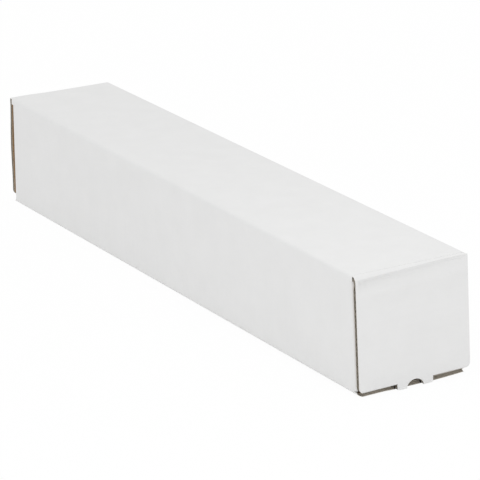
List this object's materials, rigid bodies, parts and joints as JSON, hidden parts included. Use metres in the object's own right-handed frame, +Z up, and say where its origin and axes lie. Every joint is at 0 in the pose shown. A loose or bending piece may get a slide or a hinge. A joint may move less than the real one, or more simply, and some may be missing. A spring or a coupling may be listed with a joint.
{
  "type": "square cardboard mailing tube",
  "caption": "Long square mailing tube folded from white corrugated board, with a tuck-in end flap at each end that swings open to load rolled papers.",
  "frame": {"origin": "on the floor, under the middle of the tube", "axes": "+X along the tube to the end nearest the camera in the picture, +Y to its back wall, +Z up"},
  "size_m": [0.52, 0.084, 0.082],
  "materials": {
    "white_corrugated_board": "matte white liner outside, brown kraft liner inside and at the cut edges"
  },
  "bodies": {
    "tube": {"tube_body": "white_corrugated_board"},
    "near_end": {"near_end_flap": "white_corrugated_board"},
    "near_tuck": {"near_tuck_flap": "white_corrugated_board"},
    "far_end": {"far_end_flap": "white_corrugated_board"},
    "far_tuck": {"far_tuck_flap": "white_corrugated_board"}
  },
  "joints": [
    {"name": "near_end_fold", "type": "hinge", "parent": "tube", "child": "near_end", "pos_m": [0.26, 0, 0.082], "axis": [0, -1, 0], "range_deg": [0, 110]},
    {"name": "near_tuck_fold", "type": "hinge", "parent": "near_end", "child": "near_tuck", "pos_m": [0.257, 0, 0.0078], "axis": [0, -1, 0], "range_deg": [-55, 0]},
    {"name": "far_end_fold", "type": "hinge", "parent": "tube", "child": "far_end", "pos_m": [-0.26, 0, 0.082], "axis": [0, 1, 0], "range_deg": [0, 110]},
    {"name": "far_tuck_fold", "type": "hinge", "parent": "far_end", "child": "far_tuck", "pos_m": [-0.257, 0, 0.0078], "axis": [0, 1, 0], "range_deg": [-55, 0]}
  ],
  "couplings": [
    {"joint": "near_tuck_fold", "follows": "near_end_fold", "ratio": -0.5},
    {"joint": "far_tuck_fold", "follows": "far_end_fold", "ratio": -0.5}
  ]
}
